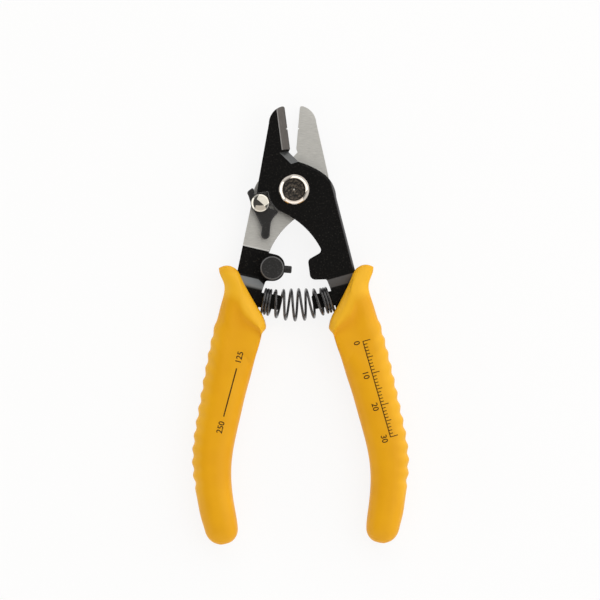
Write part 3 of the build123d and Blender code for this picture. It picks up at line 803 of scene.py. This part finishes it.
def grip_grid(rib_depth, rings):
    """Outside of a grip and its slot, ring by ring, in millimetres on a closed half.

    The inner and outer edges are splines through the stations. The half thickness is its
    own spline times the rolled rim's share. Near the mouth each ring is pushed forward by
    the mouth's bow, which fades out down the grip. The ribs draw in the outer side.
    """
    last_station = len(GRIP_HALF) - 1
    fine = np.linspace(0, last_station, MEASURED)
    down = length_along((flowing(GRIP_INNER, fine) + flowing(GRIP_OUTER, fine)) / 2)
    start = np.interp(NEAR_MOUTH[-1], down, fine)
    rest = start + (last_station - start) * np.linspace(0, 1, rings + 2)[1:-1]
    at = np.concatenate([np.interp(NEAR_MOUTH, down, fine), rest])
    first = flowing(GRIP_INNER, at)
    last = flowing(GRIP_OUTER, at)
    half = np.clip(flowing(GRIP_HALF, at), 0, GRIP_HALF[0])
    tip = at > last_station - 1
    half[tip] = GRIP_HALF[-2] * np.sqrt(np.clip(1 - (at[tip] - last_station + 1) ** 2, 0, 1))
    across = last[0] - first[0]
    forward = unit(np.array([-across[1], across[0]]))
    # The rings meet the rim aslant, so the distance square to it is shorter than down them
    square = np.interp(at, fine, down) * forward[1]
    body, share = section(first, last, GRIP_AROUND, read(SQUARENESS, square))
    rim, rub_and_sheen, hollow = rolled_rim(square, share)
    body[..., 2] *= half[:, None] * rim

    fade = np.clip((at - 2.2) / 4.3, 0, 1)
    fade = 1 - fade * fade * (3 - 2 * fade)
    body[..., :2] += (fade[:, None] * read(MOUTH_BOW, share))[..., None] * forward

    length = length_along(flowing(GRIP_OUTER, fine))
    begin = np.interp(RIB_STATION, fine, length) + RIB_START - RIB_PITCH / 2
    depth, ribbed_sheen = ribs(np.interp(at, fine, length) - begin, share, rib_depth)
    body[..., :2] += depth[..., None] * unit(first - last)[:, None]

    slot = section(SLOT_INNER, SLOT_OUTER, GRIP_AROUND, 6.0, 3.5)[0]
    slot[..., 2] *= np.array(SLOT_HALF)[:, None]
    bare = np.zeros(slot.shape[:2])
    # Marks for the painted highlight of the crest and ribbed side, and for the painted shade in the
    # groove
    marks = {
        "rub_and_sheen": np.concatenate([bare, np.maximum(rub_and_sheen, ribbed_sheen)]),
        "hollow": np.concatenate([bare, hollow]),
    }
    return np.concatenate([slot, body]), marks


def make_grip(name, side, body, replaced, material):
    """Grip on its arm; the right one is pushed down it a little, the left one up."""
    look = settings().grips
    grid, marks = grip_grid(look.rib_depth, look.rings)
    heel = np.array([*GRIP_INNER[-1], 0.0])
    for points in (grid, heel):
        points[..., :2] += DOWN_ARM * GRIP_SLIDE * side
    poles = (placed(grid[0].mean(0), side), placed(heel, side))
    piece = skin(name, placed(grid, side), poles=poles, crease=75, marks=marks)
    dress(piece, material, body, "grip_plastic", replaced)


# Print on the grips: plain numbers and lines. Height of a figure, and how far its middle
# stands beyond the end of the left line and beside the right one
FIGURE = 2.5 * MM
BEYOND_LINE = 3.4 * MM
BESIDE_LINE = 2.0 * MM


def strip(start, end, width, steps):
    """Flat strip of a given width from one point to another, cut into steps."""
    along = unit(end - start)
    aside = np.array([-along[1], along[0]]) * width / 2
    line = start + (end - start) * np.linspace(0, 1, steps + 1)[:, None]
    grid = np.stack([line + aside, line - aside], 1)
    points = np.concatenate([grid, np.zeros(grid.shape[:2] + (1,))], -1).reshape(-1, 3)
    number = np.arange(2 * steps + 2).reshape(-1, 2)
    faces = np.stack([number[:-1, 0], number[:-1, 1], number[1:, 1], number[1:, 0]], -1)
    mesh = bpy.data.meshes.new("strip")
    mesh.from_pydata(points.tolist(), [], faces.tolist())
    return mesh


def figures(text, place, along):
    """Flat mesh of a plain number, centred on a place and reading along a direction."""
    curve = bpy.data.curves.new("figures", "FONT")
    curve.body = text
    curve.size = FIGURE
    curve.offset = 0.01 * FIGURE
    curve.align_x = "CENTER"
    curve.align_y = "CENTER"
    holder = bpy.data.objects.new("figures", curve)
    mesh = bpy.data.meshes.new_from_object(holder)
    turn = Matrix.Rotation(math.atan2(along[1], along[0]), 4, "Z")
    mesh.transform(Matrix.Translation((place[0], place[1], 0)) @ turn)
    bpy.data.objects.remove(holder)
    bpy.data.curves.remove(curve)
    return mesh


def lay_print(name, flats, grip, body, material):
    """Joins flat meshes, lays them on the front of a grip and gives them a thin body."""
    work = bmesh.new()
    for flat in flats:
        work.from_mesh(flat)
        bpy.data.meshes.remove(flat)
    bmesh.ops.triangulate(work, faces=work.faces)
    # Cut finer, so that the long sides of a figure follow the curved grip
    bmesh.ops.subdivide_edges(work, edges=work.edges, cuts=3, use_grid_fill=True)
    bmesh.ops.translate(work, verts=work.verts, vec=(0.0, 0.0, 0.02))
    mesh = bpy.data.meshes.new(name)
    work.to_mesh(mesh)
    work.free()
    piece = linked(name, mesh)
    wrap = piece.modifiers.new("lay", "SHRINKWRAP")
    wrap.target = bpy.data.objects[grip]
    wrap.wrap_method = "PROJECT"
    wrap.use_project_z = True
    wrap.use_positive_direction = False
    wrap.use_negative_direction = True
    wrap.offset = 0.03 * MM
    thicken = piece.modifiers.new("thicken", "SOLIDIFY")
    thicken.thickness = 0.05 * MM
    thicken.offset = -1.0
    seen = piece.evaluated_get(bpy.context.evaluated_depsgraph_get())
    laid = bpy.data.meshes.new_from_object(seen)
    piece.modifiers.clear()
    piece.data = laid
    bpy.data.meshes.remove(mesh)
    laid.name = name
    dress(piece, material, body, "grip_plastic")


# Return spring: the same coil as the solid one, in finer steps. The ends and the middle are
# diameters, close and easing are turns at each end, the pitch is the close turns', the bow
# is half the arc's angle, the phase a share of a turn, and the seat is on a closed half
SPRING = {
    "ends": 8.1, "middle": 10.2, "turns": 12.0, "close": 2.5, "easing": 0.75, "pitch": 0.86,
    "bow": 18.0, "gap": 0.3, "phase": 0.2, "seat": (7.43, -34.1),
}
STEPS_A_TURN = 56


def spring_grid(wire, around):
    """Tube round the spring's line.

    The line winds about an arc that hangs between the two seats: its distance along
    the arc grows evenly in the close turns, then quadratically, then evenly again, and
    its distance from the arc follows a squared sine from the end size to the middle's.
    The tube's ring is a circle square to the line.
    """
    s = SPRING
    seat = (placed((*s["seat"], 0.0), 1) - PIVOT)[:2] / MM
    tilt = math.radians(s["bow"])
    radius = seat[0] / math.sin(tilt)
    centre_y = seat[1] + radius * math.cos(tilt)
    length = 2 * radius * tilt - wire - 2 * s["gap"]
    free = s["turns"] - 2 * s["close"] - 2 * s["easing"]
    closed = 2 * s["close"] * s["pitch"]
    pitch = (length - closed - s["easing"] * s["pitch"]) / (free + s["easing"])
    turn = np.linspace(0, s["turns"], int(s["turns"] * STEPS_A_TURN) + 1)
    near = np.minimum(turn, s["turns"] - turn)
    eased = np.clip(near - s["close"], 0, s["easing"])
    loose = np.clip(near - s["close"] - s["easing"], 0, None)
    along = np.minimum(near, s["close"]) * s["pitch"] + eased * s["pitch"]
    along += eased ** 2 / (2 * s["easing"]) * (pitch - s["pitch"]) + loose * pitch
    along = np.where(turn > s["turns"] / 2, length - along, along)
    bulge = np.sin(math.pi * along / length) ** 2
    coil = (s["ends"] + (s["middle"] - s["ends"]) * bulge - wire) / 2
    angle = -tilt + (wire / 2 + s["gap"]) / radius + along / radius
    swing = 2 * math.pi * (turn - s["turns"] / 2 + s["phase"])

    def bowed(reach, rise):
        return np.stack([reach * np.sin(angle), centre_y - reach * np.cos(angle), rise], -1)

    line = bowed(radius + coil * np.cos(swing), -coil * np.sin(swing))
    ahead = unit(np.gradient(line, axis=0))
    normal = line - bowed(radius, 0 * angle)
    normal = unit(normal - (normal * ahead).sum(1, keepdims=True) * ahead)
    aside = np.cross(ahead, normal)
    ring = np.linspace(0, 2 * math.pi, around, endpoint=False)[None, :, None]
    circle = np.cos(ring) * normal[:, None] + np.sin(ring) * aside[:, None]
    tube = line[:, None] + wire / 2 * circle
    return tube * MM + PIVOT, line[0] * MM + PIVOT, line[-1] * MM + PIVOT


# Operators

class Maker:
    """What the operators share."""

    bl_options = {"REGISTER", "UNDO"}


class STRIPPER_OT_blades(Maker, bpy.types.Operator):
    """Finish the two steel halves: black oxide, ground faces, bevels and rims"""

    bl_idname = "stripper.blades"
    bl_label = "Blades"

    def execute(self, context):
        steel = settings().steel
        coat("front_blade", blade_finish("front blade oxide", 1, steel))
        coat("rear_blade", blade_finish("rear blade ground", -1, steel))
        return {"FINISHED"}


class STRIPPER_OT_pivot(Maker, bpy.types.Operator):
    """Make the domed ring nut and finish the pivot bolt and its washer"""

    bl_idname = "stripper.pivot"
    bl_label = "Pivot"

    def execute(self, context):
        low, high = from_pivot(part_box("pivot_ring_nut"))
        base, top = low[2], high[2]
        # From the rim inwards the crown climbs, steeply at first, to a lip round the bore
        bore, wide, edge, lip, curl = 3.38, 4.6, 0.4, 0.1, 0.28
        share = np.linspace(0, 1, 22)
        crown = wide - (wide - bore - lip) * share
        climb = base + edge + (top - base - edge) * ((1 + curl) * share - curl * share ** 2)
        profile = [(bore, base), (wide, base), *zip(crown, climb), (bore, top - lip)]
        ring = turned("pivot_ring", profile, PIVOT, 192)
        nickel = bright_finish("ring nickel", tuple(settings().plating.nickel), 0.06)
        dress(ring, nickel, "rear_half", "bright_nickel", "pivot_ring_nut")
        coat("pivot_bolt", pivot_end_finish("bolt end"))
        coat("pivot_washer", bright_finish("washer steel", (0.5, 0.5, 0.49), 0.3))
        return {"FINISHED"}


class STRIPPER_OT_latch(Maker, bpy.types.Operator):
    """Make the latch's chromed rivet and finish its lever and washer"""

    bl_idname = "stripper.latch"
    bl_label = "Latch"

    def execute(self, context):
        low, high = from_pivot(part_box("latch_rivet"))
        centre = (low + high) / 2 * (MM, MM, 0) + PIVOT
        bottom, top = low[2], high[2]
        # A low dome on a short straight edge, a shank, and behind the plate a rolled tail
        head, edge, rise = 2.73, 0.45, 1.1
        sphere = (head ** 2 + rise ** 2) / (2 * rise)
        under = top - rise - edge
        sweep = np.linspace(math.asin(head / sphere), 0.02, 26)
        dome = np.stack([sphere * np.sin(sweep), top - sphere + sphere * np.cos(sweep)], -1)
        shank, tail, roll, back, chamfer = 1.5, 2.3, 0.45, -3.0, 0.04
        turn = np.linspace(0, math.pi / 2, 8)
        rolled = zip(tail - roll + roll * np.sin(turn), bottom + roll - roll * np.cos(turn))
        neck = [(tail, back), (shank, back), (shank, under), (head - chamfer, under)]
        foot = [(0.4, bottom), *rolled, *neck, (head, under + chamfer)]
        profile = np.concatenate([foot, dome])
        rivet = turned("latch_rivet_head", profile, centre, 128, (bottom, top))
        chrome = bright_finish("rivet chrome", tuple(settings().plating.chrome), 0.04)
        dress(rivet, chrome, "rear_half", "bright_nickel", "latch_rivet")
        coat("latch_washer", bright_finish("latch washer steel", (0.45, 0.45, 0.44), 0.3))
        coat("latch_lever", charcoal_finish("lever charcoal", settings().steel))
        return {"FINISHED"}


class STRIPPER_OT_stop(Maker, bpy.types.Operator):
    """Finish the stop post and its screw"""

    bl_idname = "stripper.stop"
    bl_label = "Closing stop"

    def execute(self, context):
        steel = settings().steel
        low, high = from_pivot(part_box("stop_post"))
        centre = ((low + high) / 2).tolist()
        coat("stop_post", charcoal_finish("post charcoal", steel, float(high[2]), centre))
        coat("stop_screw", charcoal_finish("screw charcoal", steel, thread=0.5))
        return {"FINISHED"}


class STRIPPER_OT_spring(Maker, bpy.types.Operator):
    """Wind the return spring, which bends between the two halves"""

    bl_idname = "stripper.spring"
    bl_label = "Return spring"

    def execute(self, context):
        wanted = settings().spring
        grid, start, end = spring_grid(wanted.wire, wanted.around)
        spring = skin("spring_coil", grid, poles=(start, end), crease=60)
        coat(spring, wire_finish("spring wire"))
        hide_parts("return_spring")
        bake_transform(spring)
        return {"FINISHED"}


class STRIPPER_OT_grips(Maker, bpy.types.Operator):
    """Mould the two grips with their guards and ribs"""

    bl_idname = "stripper.grips"
    bl_label = "Grips"

    def execute(self, context):
        look = settings().grips
        left = grip_finish("left plastic", -1, look)
        make_grip("grip_left_shell", -1, "rear_half", "left_grip", left)
        right = grip_finish("right plastic", 1, look)
        make_grip("grip_right_shell", 1, "front_half", "right_grip", right)
        return {"FINISHED"}


class STRIPPER_OT_prints(Maker, bpy.types.Operator):
    """Print the plain fibre sizes on the left grip and a plain length scale on the right"""

    bl_idname = "stripper.prints"
    bl_label = "Prints"

    def execute(self, context):
        ink = ink_finish("brown ink", tuple(settings().grips.ink))
        # Left: the glass's size above a line and the coating's below it
        top = placed((12.65, -55.3, 0), -1)[:2]
        bottom = placed((15.3, -70.1, 0), -1)[:2]
        up = unit(top - bottom)
        flats = [
            strip(top, bottom, 0.36 * MM, 20),
            figures("125", top + up * BEYOND_LINE, up),
            figures("250", bottom - up * BEYOND_LINE, up),
        ]
        lay_print("print_left", flats, "grip_left_shell", "rear_half", ink)
        # Right: thirty millimetres, with a longer mark every five and a number every ten
        zero = placed((14.6, -48.2, 0), 1)[:2]
        far = placed((19.1, -78.0, 0), 1)[:2]
        down = unit(far - zero)
        aside = np.array([-down[1], down[0]])
        long = 30
        flats = [strip(zero, zero + down * long * MM, 0.28 * MM, long)]
        for mark in range(long + 1):
            reach = 2.3 if mark % 10 == 0 else 1.7 if mark % 5 == 0 else 1.1
            foot = zero + down * mark * MM
            flats.append(strip(foot, foot + aside * reach * MM, 0.24 * MM, 2))
            if mark % 10 == 0:
                flats.append(figures(str(mark), foot - aside * BESIDE_LINE, down))
        lay_print("print_right", flats, "grip_right_shell", "front_half", ink)
        return {"FINISHED"}


class STRIPPER_OT_stage(Maker, bpy.types.Operator):
    """Set the floor, the lights and the camera"""

    bl_idname = "stripper.stage"
    bl_label = "Stage"

    def execute(self, context):
        scene = context.scene
        wanted = settings().stage
        mesh = bpy.data.meshes.new("floor")
        mesh.from_pydata([(-2, -2, 0), (2, -2, 0), (2, 2, 0), (-2, 2, 0)], [], [(0, 1, 2, 3)])
        mesh.materials.append(floor_finish("floor paper", tuple(wanted.floor), wanted.white))
        floor = linked("floor", mesh)
        floor.location.z = -0.05 * MM

        # Even light from all round, dim straight above so that the blacks stay black
        sky = Finish(bpy.data.worlds.new("studio"), "Background", Color=(1.0, 1.0, 1.0))
        up = sky.split(sky.node("ShaderNodeTexCoord")["Generated"])[2]
        light = wanted.sky * (1 - 0.88 * up.rises(0.12, 0.45))
        seen = sky.node("ShaderNodeLightPath")["Is Camera Ray"]
        sky.feed(sky.shader, {"Strength": light * (1 - seen) + seen})
        scene.world = sky.owner
        lamps = [
            ("key", (0.544, 0.604, 0.813), wanted.key, (2.9, 1.7), (1.0, 0.985, 0.95)),
            ("fill", (0.0, -0.78, 0.62), wanted.fill, (1.9, 1.2), (1.0, 0.935, 0.87)),
            ("side", (-0.85, 0.0, 0.22), wanted.side, (1.4, 0.3), (1.0, 0.985, 0.96)),
        ]
        for name, place, power, size, tint in lamps:
            lamp = bpy.data.lights.new(name, "AREA")
            lamp.energy = power
            lamp.shape = "RECTANGLE"
            lamp.size, lamp.size_y = size
            lamp.color = tint
            stand = linked(name, lamp)
            stand.location = place
            stand.visible_camera = False
            stand.rotation_mode = "QUATERNION"
            aim = -stand.location.normalized()
            stand.rotation_quaternion = aim.to_track_quat("-Z", "Y")

        # The photograph is 600 pixels wide at 0.303 mm a pixel; its middle lies 33.42 mm
        # below the pivot and 1.03 mm to the right, and the tool leans 1.3 degrees in it.
        away, sensor = 1.2, 36.0
        camera = bpy.data.cameras.new("camera")
        camera.sensor_width = sensor
        camera.lens = sensor * away / (600 * 0.303 * MM)
        camera.clip_end = 10.0
        stand = linked("camera", camera)
        stand.location = (PIVOT[0] + 1.03 * MM, PIVOT[1] - 33.42 * MM, PIVOT[2] + away)
        stand.rotation_euler = (0.0, 0.0, math.radians(-1.3))
        scene.camera = stand
        scene.view_settings.view_transform = "Standard"
        return {"FINISHED"}


class STRIPPER_PT_panel(bpy.types.Panel):
    """Lists the pieces of the fibre stripper"""

    bl_label = "Fibre stripper"
    bl_idname = "STRIPPER_PT_panel"
    bl_space_type = "VIEW_3D"
    bl_region_type = "UI"
    bl_category = "Stripper"

    def draw(self, context):
        for operator in OPERATORS:
            self.layout.operator(operator.bl_idname)
        wanted = context.scene.stripper
        for group in (wanted.steel, wanted.plating, wanted.grips, wanted.spring, wanted.stage):
            box = self.layout.box()
            for name in group.__annotations__:
                box.prop(group, name)


GROUPS = (
    SteelSettings, PlatingSettings, GripSettings, SpringSettings, StageSettings, StripperSettings,
)
OPERATORS = (
    STRIPPER_OT_blades, STRIPPER_OT_pivot, STRIPPER_OT_latch, STRIPPER_OT_stop,
    STRIPPER_OT_spring, STRIPPER_OT_grips, STRIPPER_OT_prints, STRIPPER_OT_stage,
)
CLASSES = (*GROUPS, *OPERATORS, STRIPPER_PT_panel)


def register():
    for kind in CLASSES:
        bpy.utils.register_class(kind)
    bpy.types.Scene.stripper = PointerProperty(type=StripperSettings)


def unregister():
    del bpy.types.Scene.stripper
    for kind in reversed(CLASSES):
        bpy.utils.unregister_class(kind)


def main():
    """Makes every piece in order."""
    register()
    bpy.ops.stripper.blades()
    bpy.ops.stripper.pivot()
    bpy.ops.stripper.latch()
    bpy.ops.stripper.stop()
    bpy.ops.stripper.spring()
    bpy.ops.stripper.grips()
    bpy.ops.stripper.prints()
    bpy.ops.stripper.stage()


if __name__ == "__main__":
    main()
